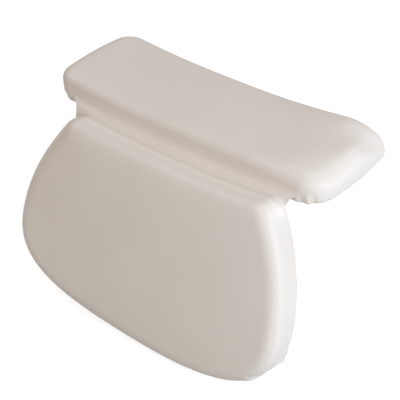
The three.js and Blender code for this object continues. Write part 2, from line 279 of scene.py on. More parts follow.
# Foam, with a pocket over each stud's head and washer
FOAM_BASE = 2.3 * MM
FOAM_INSET = 6.5 * MM
FOAM_TOP_GAP = 2.4 * MM
FOAM_OUTLINE_STRIDE = 4
POCKET_RADIUS = 10.6 * MM
POCKET_DEPTH = 5.2 * MM
POCKET_STEPS = 48

# Cups, their studs and the patches round them
STUD_RADIUS = 3.5 * MM
STUD_HOLE_RADIUS = 3.9 * MM
STUD_HOLE_POINTS = 24
PATCH_RADIUS = 17 * MM
PATCH_WALL = 0.9 * MM
PATCH_EDGE = 0.35 * MM
CUP_RADIUS = 25 * MM
CUP_HEIGHT = 13 * MM
CUP_WALL = 2.2 * MM
DISH_RADIUS = 23.4 * MM
DISH_DEPTH = 7 * MM
DISH_POINTS = 40
DISH_RING_RADII = (9 * MM, 15 * MM)
DISH_RING_HEIGHT = 0.35 * MM
DISH_RING_WIDTH = 0.7 * MM
DOME_POINTS = 14
LIP_EDGE = 0.8 * MM
LIP_ROUND_IN = 0.2 * MM
LIP_ROUND_UP = 0.25 * MM
SHOULDER_RADIUS = 8 * MM
SHOULDER_ROUND = ((0.4 * MM, 1.2 * MM), (0.9 * MM, 0.2 * MM), (1.5 * MM, 0))
HEAD_RADIUS = 6 * MM
HEAD_BASE = 17.1 * MM
HEAD_EDGE = 1 * MM
HEAD_TOP = 20.5 * MM
TURN_STEPS = 72
MERGE_DISTANCE = 0.001 * MM

# Weld ribs, pressed into the hem and round the patches
RibSizes = namedtuple("RibSizes", "spacing length width height")
HEM_RIBS = RibSizes(3.2 * MM, 5.5 * MM, 1.5 * MM, 0.7 * MM)
HEM_RIB_INSET = 10.2 * MM
PATCH_RIBS = RibSizes(2.6 * MM, 3.2 * MM, 1.1 * MM, 0.6 * MM)
PATCH_RIB_RADIUS = 14.4 * MM
RIB_SEGMENTS = 8
RIB_RINGS = 6

# Vinyl and foam
DRIFT_SCALE = 14
DRIFT_DETAIL = 3
DRIFT_STOPS = (0.3, 0.7)
GRAIN_DETAIL = 4
GRAIN_STRENGTH = 0.35
VINYL_SHEEN = 0.16
CUP_CLEARNESS = 0.2
CUP_REFRACTION = 1.5
CELL_DARK = (0.62, 0.55, 0.38)
CELL_PALE = (0.88, 0.82, 0.64)
CELL_STOPS = (0, 0.6)
CELL_SCALE = 700
CELL_STRENGTH = 0.6
CELL_DEPTH = 0.4 * MM
FOAM_ROUGHNESS = 0.9
FOAM_SHEEN = 0.2

# Camera, found by fitting the photograph's outline
VIEW_AZIMUTH = math.radians(41.2)
VIEW_ELEVATION = math.radians(36.23)
VIEW_ROLL = math.radians(-2.36)
VIEW_DISTANCE = 1055.0 * MM
VIEW_LENS = 101.0
VIEW_SENSOR = 36
VIEW_ACROSS = 20.04 * MM
VIEW_UP = -54.71 * MM
VIEW_ORIGIN = Vector((0, -55 * MM, 28.42 * MM))
VIEW_NEAR = 50 * MM
VIEW_FAR = 50

# Floor, room and soft boxes
FLOOR_HALF = 4
FLOOR_TONE = 0.4
FLOOR_GLOW = 0.8
FLOOR_ROUGHNESS = 0.9
ROOM_LIGHT = 0.566
ROOM_TINT = (1.049, 1.0, 0.958)
SoftBox = namedtuple("SoftBox", "name way distance side power tint")
KEY_LIGHT = SoftBox("key", (0.90, -0.167, 0.397), 1.5, 1.0, 16.5, (0.84, 1.0, 1.151))
FILL_LIGHT = SoftBox("fill", (0.2, -1.0, 0.5), 1.6, 1.2, 1.4, (1.32, 1.0, 0.49))

# The creases, how far the panel is folded, and its own directions in (y, z)
joints = {joint["name"]: joint for joint in frame["joints"]}
rim_crease = Vector(joints["rim_crease"]["pos_m"])
panel_crease = Vector(joints["panel_crease"]["pos_m"])
panel_back = Vector(joints["panel_cup_upper_left_turn"]["axis"])
fold = math.atan2(panel_back.y, -panel_back.z)
panel_up = np.array([math.cos(fold), math.sin(fold)])
panel_ahead = np.array([-math.sin(fold), math.cos(fold)])

# A pad: its body, its outline with outward normals, the radii round its edge, and how far each point of
# the outline faces the web. Its place takes its own frame to the pillow's.
Pad = namedtuple("Pad", "body outline normals edge_radius edge_depth hem_radius web_side crown centre "
                        "place tree cups pleats")


# Meshes and points

def add_object(name, data):
    made = bpy.data.objects.new(name, data)
    bpy.context.scene.collection.objects.link(made)
    return made


def new_object(name, points, faces, edges=()):
    mesh = bpy.data.meshes.new(name)
    mesh.from_pydata([tuple(point) for point in points], edges, faces)
    mesh.update()
    return add_object(name, mesh)


def object_from(name, shape):
    """Object with a shape's mesh. The shape itself is freed."""
    mesh = bpy.data.meshes.new(name)
    shape.to_mesh(mesh)
    shape.free()
    return add_object(name, mesh)


def points_of(mesh):
    flat = np.empty(len(mesh.vertices) * 3)
    mesh.vertices.foreach_get("co", flat)
    return flat.reshape(-1, 3)


def set_points(mesh, points):
    mesh.vertices.foreach_set("co", np.ascontiguousarray(points).ravel())
    mesh.update()


def normals_of(mesh):
    flat = np.empty(len(mesh.vertices) * 3)
    mesh.vertex_normals.foreach_get("vector", flat)
    return flat.reshape(-1, 3)


def placed(points, place):
    turn = np.array(place)
    return points @ turn[:3, :3].T + turn[:3, 3]


def bake_modifiers(piece):
    graph = bpy.context.evaluated_depsgraph_get()
    old = piece.data
    mesh = bpy.data.meshes.new_from_object(piece.evaluated_get(graph))
    piece.modifiers.clear()
    piece.data = mesh
    mesh.name = piece.name
    bpy.data.meshes.remove(old)


def give_wall(piece, thickness):
    wall = piece.modifiers.new("wall", "SOLIDIFY")
    wall.thickness = thickness
    wall.offset = -1
    bake_modifiers(piece)


def evened(values, mesh, rounds):
    """Values at the points of a mesh, spread over their neighbours."""
    ends = np.empty(len(mesh.edges) * 2, dtype=np.int32)
    mesh.edges.foreach_get("vertices", ends)
    first, second = ends.reshape(-1, 2).T
    shares = (np.bincount(ends, minlength=len(values)) + 1)[:, None]
    for _ in range(rounds):
        total = values.copy()
        np.add.at(total, first, values[second])
        np.add.at(total, second, values[first])
        values = total / shares
    return values


def ease(value, low, high):
    """0 up to the low end, 1 from the high end, and a smooth rise between them."""
    share = np.clip((value - low) / (high - low), 0, 1)
    return share * share * (3 - 2 * share)


def mix(first, second, share):
    return first + (second - first) * share


def circle(radius, count):
    turn = np.linspace(0, 2 * math.pi, count, endpoint=False)
    return radius * np.column_stack([np.cos(turn), np.sin(turn)])


def loop_edges(loops):
    """Edges of closed loops whose points are numbered one loop after another."""
    edges = []
    first = 0
    for loop in loops:
        count = len(loop)
        edges.extend((first + j, first + (j + 1) % count) for j in range(count))
        first += count
    return edges


def fit_out(piece, finish, body=None, nodes=()):
    """Gives a piece its finish and says what it rides on and stands for."""
    piece.data.shade_smooth()
    piece.data.set_sharp_from_angle(angle=SHARP_ANGLE)
    piece.data.materials.clear()
    piece.data.materials.append(finish)
    if body:
        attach(piece, body)
    if nodes:
        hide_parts(*nodes)


# Outlines, counter-clockwise as seen from the front of a pad

def straight(start, end):
    return np.linspace(start, end, CURVE_POINTS, endpoint=False)


def arc(centre, radius, start, end):
    angles = np.linspace(start, end, ARC_POINTS, endpoint=False)
    return np.array(centre) + radius * np.column_stack([np.cos(angles), np.sin(angles)])


def bezier(points, count=CURVE_POINTS, closed=False):
    share = np.linspace(0, 1, count, endpoint=closed)[:, None]
    row = [np.array(point) for point in points]
    while len(row) > 1:
        row = [mix(a, b, share) for a, b in zip(row, row[1:])]
    return row[0]


def even_outline(stretches):
    """The closed outline at even steps, with its outward normals."""
    points = np.concatenate(stretches)
    closed = np.vstack([points, points[:1]])
    runs = np.concatenate([[0], np.cumsum(np.linalg.norm(np.diff(closed, axis=0), axis=1))])
    count = int(runs[-1] / OUTLINE_STEP)
    at = np.linspace(0, runs[-1], count, endpoint=False)
    outline = np.column_stack([np.interp(at, runs, closed[:, axis]) for axis in (0, 1)])
    along = np.roll(outline, -1, axis=0) - np.roll(outline, 1, axis=0)
    along /= np.linalg.norm(along, axis=1)[:, None]
    return outline, np.column_stack([along[:, 1], -along[:, 0]])


def flap_outline(width, depth):
    side = width / 2 - FLAP_END_BULGE
    bulged = width / 2 + FLAP_END_BULGE
    front, rear = FLAP_FRONT_CORNER, FLAP_REAR_CORNER
    soft_front, soft_rear = FLAP_SOFT_FRONT_CORNER, FLAP_SOFT_REAR_CORNER
    flared = side + FLAP_SOFT_FLARE
    quarter = math.pi / 2
    return even_outline([
        straight((front - side, 0), (side - soft_front, 0)),
        arc((side - soft_front, soft_front), soft_front, -quarter, 0),
        bezier([(side, soft_front), (bulged, depth / 2), (flared, depth - soft_rear)]),
        arc((flared - soft_rear, depth - soft_rear), soft_rear, 0, quarter),
        bezier([(flared - soft_rear, depth), (0, depth - 2 * FLAP_REAR_DRAW_IN), (rear - side, depth)]),
        arc((rear - side, depth - rear), rear, quarter, 2 * quarter),
        bezier([(-side, depth - rear), (-bulged, depth / 2), (-side, front)]),
        arc((front - side, front), front, 2 * quarter, 3 * quarter),
    ])


def panel_side(half, height, flat, radius):
    """Points of the two curves from the middle of the panel's bottom up to its top corner."""
    rise = PANEL_TOP_RISE + PANEL_TOP_END_RISE
    below = height - PANEL_WIDEST_DROP
    handle = PANEL_FLANK_FULLNESS * PANEL_WIDEST_DROP
    top = np.array([flat + radius * math.cos(PANEL_FLARE), rise + radius * math.sin(PANEL_FLARE) - radius])
    flank_handle = top + handle * np.array([math.sin(PANEL_FLARE), -math.cos(PANEL_FLARE)])
    return np.array([
        (0, PANEL_BOTTOM_DRAW_IN - height),
        (half * PANEL_BOTTOM_FULLNESS, PANEL_BOTTOM_DRAW_IN - height),
        (half, -PANEL_WIDEST_DROP - below * PANEL_BOTTOM_FULLNESS),
        (half, -PANEL_WIDEST_DROP),
        (half, -PANEL_WIDEST_DROP + handle),
        tuple(flank_handle),
        tuple(top),
    ])


def panel_outline(width, height):
    rise = PANEL_TOP_RISE + PANEL_TOP_END_RISE
    radius, soft = PANEL_TOP_CORNER_RADIUS, PANEL_SOFT_CORNER_RADIUS
    flat = PANEL_TOP_STRAIGHT / 2
    soft_flat = flat - PANEL_SOFT_CORNER_SHIFT - (soft - radius) * math.tan(math.pi / 4 - PANEL_FLARE / 2)
    right = panel_side(width / 2, height, flat, radius)
    left = panel_side(width / 2, height, soft_flat, soft)[::-1] * (-1, 1)
    return even_outline([
        bezier(right[:4]),
        bezier(right[3:]),
        arc((flat, rise - radius), radius, PANEL_FLARE, math.pi / 2),
        bezier([(flat, rise), (0, rise - 2 * PANEL_TOP_END_RISE), (-soft_flat, rise)]),
        arc((-soft_flat, rise - soft), soft, math.pi / 2, math.pi - PANEL_FLARE),
        bezier(left[:4]),
        bezier(left[3:]),
    ])


# Pads in their own frames

def outline_tree(outline):
    tree = KDTree(len(outline))
    for index, (x, y) in enumerate(outline):
        tree.insert((x, y, 0), index)
    tree.balance()
    return tree


def cup_places(body, place):
    """The lip centres of a pad's cups, in the pad's own frame."""
    inverse = place.inverted()
    found = {}
    for joint in joints.values():
        if joint["parent"] == body and joint.get("continuous"):
            found[joint["child"]] = inverse @ Vector(joint["pos_m"])
    return found


def flap_pad():
    """The flap: tighter at its front, rounder at its corners, and soft at its +x end."""
    low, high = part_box("flap_front_skin")
    depth = high.y - low.y
    outline, normals = flap_outline(high.x - low.x, depth)
    front = np.clip(-normals[:, 1], 0, 1) ** 2
    rear = np.clip(normals[:, 1], 0, 1) ** 2
    corner = (2 * normals[:, 0] * normals[:, 1]) ** 2
    soft = ease(outline[:, 0], FLAP_SOFT_FROM, FLAP_SOFT_TO)
    edge = mix(FLAP_EDGE_RADIUS, FLAP_FRONT_EDGE_RADIUS, front)
    edge += (FLAP_CORNER_EDGE_RADIUS - FLAP_EDGE_RADIUS) * corner
    edge = mix(edge, mix(FLAP_SOFT_EDGE_RADIUS, FLAP_SOFT_REAR_EDGE_RADIUS, rear), soft)
    hem = mix(FLAP_HEM_RADIUS, FLAP_CORNER_HEM_RADIUS, corner)
    hem = mix(hem, mix(FLAP_SOFT_HEM_RADIUS, FLAP_SOFT_REAR_HEM_RADIUS, rear), soft)
    place = Matrix.Translation((0, low.y, low.z))
    return Pad(body="flap", outline=outline, normals=normals, edge_radius=edge, edge_depth=edge,
               hem_radius=hem, web_side=front, crown=FLAP_CROWN, centre=np.array([0, depth / 2]),
               place=place, tree=outline_tree(outline), cups=cup_places("flap", place), pleats=FLAP_PLEATS)


def panel_pad():
    """The panel: rounder at its top corners, crisper on its +x side, and tight along its top."""
    hung = Matrix.Translation(panel_crease) @ Matrix.Rotation(fold, 4, "X")
    local = placed(points_of(frame["nodes"]["panel_front_skin"].data), hung.inverted())
    low, high = local.min(axis=0), local.max(axis=0)
    outline, normals = panel_outline(high[0] - low[0], high[1] - low[1])
    across = np.abs(outline[:, 0]) - PANEL_TOP_STRAIGHT / 2 - PANEL_TOP_CORNER_RADIUS / 2
    from_corner = np.hypot(across, outline[:, 1] - PANEL_TOP_RISE + PANEL_TOP_CORNER_RADIUS / 2)
    corner = np.exp(-(from_corner / PANEL_CORNER_SPREAD) ** 2)
    crisp = ease(outline[:, 0], -PANEL_CRISP_BLEND, PANEL_CRISP_BLEND)
    top = np.clip(normals[:, 1], 0, 1) ** 2
    tight = top ** PANEL_TOP_EDGE_POWER
    edge = mix(PANEL_EDGE_RADIUS, PANEL_CORNER_EDGE_RADIUS, corner)
    edge = mix(edge, PANEL_CRISP_EDGE_RADIUS, crisp)
    place = hung @ Matrix.Translation((0, high[1], low[2]))
    return Pad(body="panel", outline=outline, normals=normals,
               edge_radius=mix(edge, PANEL_TOP_EDGE_RADIUS, tight),
               edge_depth=mix(edge, PANEL_TOP_EDGE_DEPTH, tight),
               hem_radius=np.full(len(outline), PANEL_HEM_RADIUS), web_side=top, crown=PANEL_CROWN,
               centre=np.array([0, (low[1] - high[1]) / 2]), place=place, tree=outline_tree(outline),
               cups=cup_places("panel", place), pleats=PANEL_PLEATS)


def nearest(pad, points):
    """For each point, the nearest place on the outline and how far the point lies inside it."""
    index = np.array([pad.tree.find((x, y, 0))[1] for x, y in points[:, :2]])
    inset = -np.sum((points[:, :2] - pad.outline[index]) * pad.normals[index], axis=1)
    return index, inset


def pad_block(name, pad, drawn, base, top, crown, stride=1):
    """Closed pad between two heights, with its outline drawn in."""
    pick = slice(None, None, stride)
    outline, normals = pad.outline[pick], pad.normals[pick]
    edge, depth, hem = pad.edge_radius[pick], pad.edge_depth[pick], pad.hem_radius[pick]
    drawn = np.broadcast_to(drawn, len(pad.outline))[pick]
    rings = []

    def add_ring(inset, height):
        flat = outline - normals * (inset + drawn)[:, None]
        rings.append(np.column_stack([flat, height]))

    for angle in np.linspace(0, math.pi / 2, HEM_RINGS):
        add_ring(hem * (1 - math.sin(angle)), base + hem * (1 - math.cos(angle)))
    for angle in np.linspace(0, math.pi / 2, EDGE_RINGS):
        add_ring(edge * (1 - math.cos(angle)), top + depth * (math.sin(angle) - 1))
    rim = rings[-1]
    middle = np.array([*pad.centre, 0])
    for scale in CROWN_SCALES:
        shrunk = mix(middle, rim, scale)
        shrunk[:, 2] = top + crown * (1 - scale * scale)
        rings.append(shrunk)
    count = len(outline)
    points = np.vstack([[*pad.centre, base], *rings, [*pad.centre, top + crown]])
    last = len(points) - 1
    upper = last - count
    faces = []
    for j in range(count):
        after = (j + 1) % count
        faces.append((0, 1 + after, 1 + j))
        faces.append((upper + j, upper + after, last))
        for low in range(1, upper, count):
            high = low + count
            faces.append((low + j, low + after, high + after, high + j))
    return new_object(name, points, faces)


def even_quads(piece):
    remesh = piece.modifiers.new("even_quads", "REMESH")
    remesh.mode = "VOXEL"
    remesh.voxel_size = FILL_QUAD
    bake_modifiers(piece)


def web_line(pad):
    """Height on a pad's wall at which the web joins it."""
    crease = rim_crease if pad.body == "flap" else panel_crease
    return (pad.place.inverted() @ crease).z


def fill_pad(pad, piece):
    """Fills the cover like a cushion. The foam inside keeps it from sinking in, and its back and the
    line of the web stay where they are."""
    rest = points_of(piece.data)
    index, _ = nearest(pad, rest)
    from_web = np.abs(rest[:, 2] - web_line(pad))
    on_web = pad.web_side[index] * (1 - ease(from_web, WEB_HOLD / 2, WEB_HOLD))
    still = np.maximum(on_web, 1 - ease(rest[:, 2], BACK_LEVEL, pad.hem_radius[index]))
    group = piece.vertex_groups.new(name="held")
    group.add(np.flatnonzero(still > HELD_FROM).tolist(), 1, "REPLACE")
    cover = piece.modifiers.new("cover", "CLOTH")
    cover.settings.quality = COVER_QUALITY
    cover.settings.tension_stiffness = COVER_STIFFNESS
    cover.settings.compression_stiffness = COVER_STIFFNESS
    cover.settings.bending_stiffness = COVER_BENDING
    cover.settings.shrink_min = -FILL_STRETCH
    cover.settings.use_pressure = True
    cover.settings.uniform_pressure_force = FILL_PRESSURE
    cover.settings.vertex_group_mass = group.name
    cover.settings.effector_weights.gravity = 0
    cover.collision_settings.use_collision = False
    cover.point_cache.frame_end = FILL_FRAMES
    scene = bpy.context.scene
    for step in range(1, FILL_FRAMES + 1):
        scene.frame_set(step)
    graph = bpy.context.evaluated_depsgraph_get()
    filled = points_of(piece.evaluated_get(graph).data)
    piece.modifiers.remove(cover)
    piece.vertex_groups.remove(group)
    scene.frame_set(1)
    move = evened(filled - rest, piece.data, FILL_SPREAD) * (1 - still)[:, None]
    outward = normals_of(piece.data)
    move -= outward * np.minimum(np.sum(move * outward, axis=1), 0)[:, None]
    most = np.linalg.norm(move, axis=1).max()
    set_points(piece.data, rest + move * min(1, FILL_REACH / most))


def trim_to_outline(pad, piece):
    """Takes up what remeshing and filling drew in, so that the wall meets the outline it was cut to."""
    points = points_of(piece.data)
    index, inset = nearest(pad, points)
    height, edge, hem = points[:, 2], pad.edge_radius[index], pad.hem_radius[index]
    depth = pad.edge_depth[index]
    below = np.clip(1 - height / hem, 0, 1)
    above = np.clip((height - PAD_THICKNESS) / depth + 1, 0, 1)
    curve = hem * (1 - np.sqrt(1 - below * below)) + edge * (1 - np.sqrt(1 - above * above))
    steep = ease(height, 0, TRIM_HEM_SHARE * hem) * (1 - ease(above, *TRIM_EDGE_FADE))
    steep *= inset < TRIM_DEPTH
    weighed = np.column_stack([(inset - curve) * steep, steep])
    gap, weight = evened(weighed, piece.data, TRIM_SPREAD).T
    gap = gap / np.maximum(weight, TRIM_LEAST_WEIGHT) * np.minimum(1, weight / TRIM_FULL_WEIGHT)
    points[:, :2] += pad.normals[index] * gap[:, None]
    set_points(piece.data, points)


def gather_hem(pad, piece):
    """Presses the pleats and the fine gathers of the turned hem into the cover."""
    points = points_of(piece.data)
    index, inset = nearest(pad, points)
    height = points[:, 2]
    count = len(pad.outline)
    by_edge = 1 - ease(inset, *HEM_FADE)
    depth = np.zeros(len(points))
    for tuck in pad.pleats:
        start = pad.tree.find((tuck.x, tuck.y, 0))[1]
        along = ((index - start + count // 2) % count - count // 2) * OUTLINE_STEP * np.sign(tuck.run)
        valley = ease(along, -PLEAT_LIP, PLEAT_LIP) * np.clip(1 - along / abs(tuck.run), 0, 1)
        bulge = PLEAT_BULGE * np.exp(-((along / PLEAT_LOBE + 1) ** 2))
        rise = ease(height, *(tuck.low + fade for fade in PLEAT_FOOT_FADE))
        rise *= 1 - ease(height, *(tuck.high * fade for fade in PLEAT_HEAD_FADE))
        depth += tuck.depth * (valley - bulge) * rise * by_edge
    ahead = np.roll(pad.normals, -GATHER_CORNER_STEPS, axis=0)
    behind = np.roll(pad.normals, GATHER_CORNER_STEPS, axis=0)
    bend = np.linalg.norm(ahead - behind, axis=1) / (2 * GATHER_CORNER_STEPS * OUTLINE_STEP)
    gathered = np.clip(bend * GATHER_CORNER_RADIUS, 0, 1)[index]
    run = index * OUTLINE_STEP * 2 * math.pi / GATHER_PITCH
    waves = np.sin(run) + GATHER_RIPPLE * np.sin(GATHER_RIPPLE_RATE * run + GATHER_RIPPLE_SHIFT)
    low = 1 - ease(height, GATHER_TOP / 2, GATHER_TOP)
    depth += GATHER_DEPTH * waves * gathered * low * by_edge
    points[:, :2] -= pad.normals[index] * depth[:, None]
    set_points(piece.data, points)


def flap_droop(pad, points):
    """How far the flap's top sinks towards its softer end, after a swell."""
    end = pad.outline[:, 0].max()
    depth = points[:, 1] / pad.outline[:, 1].max()
    reach = mix(FLAP_DROOP_REACH, FLAP_DROOP_REACH_AT_REAR, ease(depth, *FLAP_DROOP_REACH_TURN))
    share = np.clip((points[:, 0] - end) / reach + 1, 0, 1)
    part = mix(1, FLAP_DROOP_AT_MIDDLE, ease(depth, *FLAP_DROOP_MIDDLE_TURN))
    part += (FLAP_DROOP_AT_REAR - FLAP_DROOP_AT_MIDDLE) * ease(depth, *FLAP_DROOP_REAR_TURN)
    swell = np.exp(-(((points[:, 0] - FLAP_SWELL_AT) / FLAP_SWELL_SPREAD) ** 2))
    swell *= ease(depth, *FLAP_SWELL_TURN)
    return FLAP_DROOP * share ** 2 * part - FLAP_SWELL * swell


def thin_out(pad, piece):
    """Thins a pad towards the flap's softer end or the panel's top, and leaves its back flat."""
    points = points_of(piece.data)
    if pad.body == "flap":
        sunk = flap_droop(pad, points)
    else:
        sunk = PANEL_LEAN * (1 - ease(PANEL_TOP_RISE - points[:, 1], 0, PANEL_LEAN_REACH))
    points[:, 2] -= sunk * np.clip((points[:, 2] - TAPER_FROM) / (PAD_THICKNESS - TAPER_FROM), 0, 1)
    set_points(piece.data, points)


def settle(points, still=0):
    """Points after the pillow has bowed along its width, less where they are held still."""
    share = np.abs(points[:, 0] / BOW_HALF_WIDTH) ** BOW_POWER
    level = (abs(joints["flap_cup_right_turn"]["pos_m"][0]) / BOW_HALF_WIDTH) ** BOW_POWER
    moved = points.copy()
    moved[:, 2] += BOW_RISE * (share - level) * (1 - still)
    return moved


def set_in_place(pad, piece, still=0):
    """Puts a piece of a pad where the pad is, bent and bowed as the pad has settled."""
    points = points_of(piece.data)
    if pad.body == "panel":
        drop = np.clip(-points[:, 1] / WING_DROP, 0, 1)
        wing = mix(WING_TOP, WING_BOTTOM, drop)
        points[:, 2] += wing * (points[:, 0] / BOW_HALF_WIDTH) ** 2 * (1 - still)
    set_points(piece.data, settle(placed(points, pad.place), still))


def round_studs(pad, piece):
    """How far each point of a piece is held still by the nearest stud."""
    points = points_of(piece.data)
    centres = np.array([lip.xy for lip in pad.cups.values()])
    away = np.linalg.norm(points[:, None, :2] - centres[None], axis=2).min(axis=1)
    low = 1 - ease(points[:, 2], *STUD_HOLD_HEIGHT)
    return (1 - ease(away, FLAT_ROUND_STUD, SETTLED_FROM_STUD)) * low


def open_back(pad, piece):
    """Cuts the back away inside the hem and brings the cut edge onto the hem's line."""
    mesh = piece.data
    points = points_of(mesh)
    _, inset = nearest(pad, points)
    inside = (inset > HEM_EDGE) & (points[:, 2] < BACK_LEVEL)
    shell = bmesh.new()
    shell.from_mesh(mesh)
    gone = [face for face in shell.faces if all(inside[corner.index] for corner in face.verts)]
    bmesh.ops.delete(shell, geom=gone, context="FACES")
    edge = [corner for corner in shell.verts if any(side.is_boundary for side in corner.link_edges)]
    found = np.array([corner.co for corner in edge])
    index, inset = nearest(pad, found)
    found[:, :2] += pad.normals[index] * (inset - HEM_EDGE)[:, None]
    found[:, 2] = 0
    for corner, spot in zip(edge, found):
        corner.co = spot
    shell.to_mesh(mesh)
    shell.free()


def make_skin(pad, vinyl):
    """Formed vinyl skin, with its hem turned in behind the pad."""
    slack, share = ((FILL_SLACK, FILL_CROWN_SHARE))
    drawn = slack * (1 - pad.web_side)
    skin = pad_block(f"{pad.body}_skin", pad, drawn, 0, PAD_THICKNESS - slack, share * pad.crown)
    even_quads(skin)
    fill_pad(pad, skin)
    finer = skin.modifiers.new("finer", "SUBSURF")
    finer.levels = 1
    finer.render_levels = 1
    bake_modifiers(skin)
    trim_to_outline(pad, skin)
    gather_hem(pad, skin)
    thin_out(pad, skin)
    open_back(pad, skin)
    give_wall(skin, SKIN_WALL)
    set_in_place(pad, skin)
    fit_out(skin, vinyl, pad.body, [f"{pad.body}_front_skin"])


def make_foam(pad, finish):
    """Foam block inside the cover, with a pocket over each stud's head and washer."""
    top = PAD_THICKNESS - FOAM_TOP_GAP
    foam = pad_block(f"{pad.body}_foam", pad, FOAM_INSET, FOAM_BASE, top, pad.crown, FOAM_OUTLINE_STRIDE)
    punch = bmesh.new()
    for lip in pad.cups.values():
        spot = Matrix.Translation((lip.x, lip.y, FOAM_BASE))
        bmesh.ops.create_cone(punch, cap_ends=True, segments=POCKET_STEPS, radius1=POCKET_RADIUS,
                              radius2=POCKET_RADIUS, depth=2 * POCKET_DEPTH, matrix=spot)
    pockets = object_from("pockets", punch)
    cut = foam.modifiers.new("pockets", "BOOLEAN")
    cut.operation = "DIFFERENCE"
    cut.solver = "MANIFOLD"
    cut.object = pockets
    bake_modifiers(foam)
    bpy.data.objects.remove(pockets)
    thin_out(pad, foam)
    set_in_place(pad, foam, round_studs(pad, foam))
    fit_out(foam, finish, pad.body, [f"{pad.body}_foam_core"])


# Web between the pads

def top_edge(panel, x):
    """Height of the panel's top edge across its width."""
    top = panel.normals[:, 1] > TOP_EDGE_FACING
    order = np.argsort(panel.outline[top, 0])
    return np.interp(x, panel.outline[top, 0][order], panel.outline[top, 1][order])


def strip_row(panel, spot, half, share):
    """One row of points along the web. It follows the panel's top edge by a share."""
    x = np.linspace(-half, half, WEB_POINTS)
    lift = top_edge(panel, x) - PANEL_TOP_RISE
    wing = WING_TOP * (x / BOW_HALF_WIDTH) ** 2
    return np.column_stack([x, spot + share * (lift[:, None] * panel_up + wing[:, None] * panel_ahead)])


def strip(name, panel, line, halves, follow):
    """Sheet of the web along a line in (y, z), with a half length at each point."""
    rows = [strip_row(panel, *given) for given in zip(line, halves, follow)]
    faces = []
    for i in range(len(line) - 1):
        for j in range(WEB_POINTS - 1):
            low = i * WEB_POINTS + j
            faces.append((low, low + WEB_POINTS, low + WEB_POINTS + 1, low + 1))
    return new_object(name, np.vstack(rows), faces)


def crossing(point, way, base, base_way):
    share = np.linalg.solve(np.column_stack([way, -base_way]), base - point)
    return point + way * share[0]


def web_lines(panel, level):
    """The upper and lower halves of one ply in (y, z), each with its share of the way across by point."""
    a = np.array(rim_crease.yz)
    b = np.array(panel_crease.yz)
    along = (b - a) / np.linalg.norm(b - a)
    out = np.array([along[1], -along[0]])
    depth = WEB_FRONT - level
    middle = mix(a, b, WEB_SPLIT) + out * level
    wall = np.array([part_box("flap_front_skin")[0].y + WEB_BURY + depth, 0])
    ledge = np.array(panel.place.translation.yz) + panel_up * (PANEL_TOP_RISE + LEDGE_PROUD - depth)
    top = crossing(middle, along, wall, np.array([0.0, 1.0]))
    foot = crossing(middle, along, ledge, panel_ahead)
    below_wall = top + along * WEB_BEND
    above_foot = foot - along * LEDGE_BEND
    on_ledge = foot + panel_ahead * LEDGE_BEND
    lap_end = on_ledge + panel_ahead * LEDGE_LAP - panel_up * LAP_DIP
    upper = np.vstack([
        bezier([top + np.array([0, WALL_BEND]), top, below_wall], WALL_BEND_POINTS),
        bezier([below_wall, middle], WEB_FLAT_POINTS, closed=True),
    ])
    lower = np.vstack([
        bezier([middle, above_foot], WEB_FLAT_POINTS),
        bezier([above_foot, foot, on_ledge], LEDGE_BEND_POINTS),
        bezier([on_ledge, lap_end], LAP_POINTS, closed=True),
    ])
    width = np.linalg.norm(foot - top)
    return {half: (line, np.clip((line - top) @ along / width, 0, 1))
            for half, line in (("upper", upper), ("lower", lower))}


def web_half(share):
    """Half the web's length, hollowed at its ends, at a share of the way across."""
    middle = (WEB_HALF_ON_FLAP + WEB_HALF_ON_PANEL) / 2 - 2 * WEB_END_HOLLOW
    ends = (1 - share) ** 2 * WEB_HALF_ON_FLAP + share ** 2 * WEB_HALF_ON_PANEL
    return ends + 2 * share * (1 - share) * middle


def make_web(panel, vinyl, back_vinyl):
    """Two plies, each in an upper and a lower half."""
    plies = (
        ("front", WEB_FRONT, vinyl, "vinyl_skin"),
        ("back", WEB_FRONT - PLY_PITCH, back_vinyl, "back_vinyl"),
    )
    for ply, level, finish, slot in plies:
        for half, (line, share) in web_lines(panel, level).items():
            halves = web_half(share)
            piece = strip(f"web_{ply}_{half}", panel, line, halves, ease(share, *WEB_FOLLOW_TURN))
            give_wall(piece, WEB_PLY)
            set_points(piece.data, settle(points_of(piece.data)))
            fit_out(piece, finish, None, [f"hinge_web_{ply}_ply"])
            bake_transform(piece)


def weld_line(panel):
    """The line along which the web's front ply is welded to the panel, as points."""
    lower, _ = web_lines(panel, WEB_FRONT)["lower"]
    return settle(strip_row(panel, lower[-1], WEB_HALF_ON_PANEL, 1))


def paint_weld_light(piece, line, spread):
    """Marks how near each point of a piece lies to the weld, as the share of painted light that lightens
    the vinyl there over the shade of the crease under the flap.
    """
    points = points_of(piece.data)
    there = np.column_stack([np.interp(points[:, 0], line[:, 0], line[:, axis]) for axis in (1, 2)])
    beyond = np.clip(np.abs(points[:, 0]) - WEB_HALF_ON_PANEL, 0, None)
    away = np.hypot(np.linalg.norm(points[:, 1:] - there, axis=1), beyond)
    # The weld attribute holds the share of painted light: 1 at the weld, falling off away from it.
    painted_light = piece.data.attributes.new("weld", "FLOAT", "POINT")
    painted_light.data.foreach_set("value", np.exp(-((away / spread) ** 2)))


# Back sheets, cups and patches

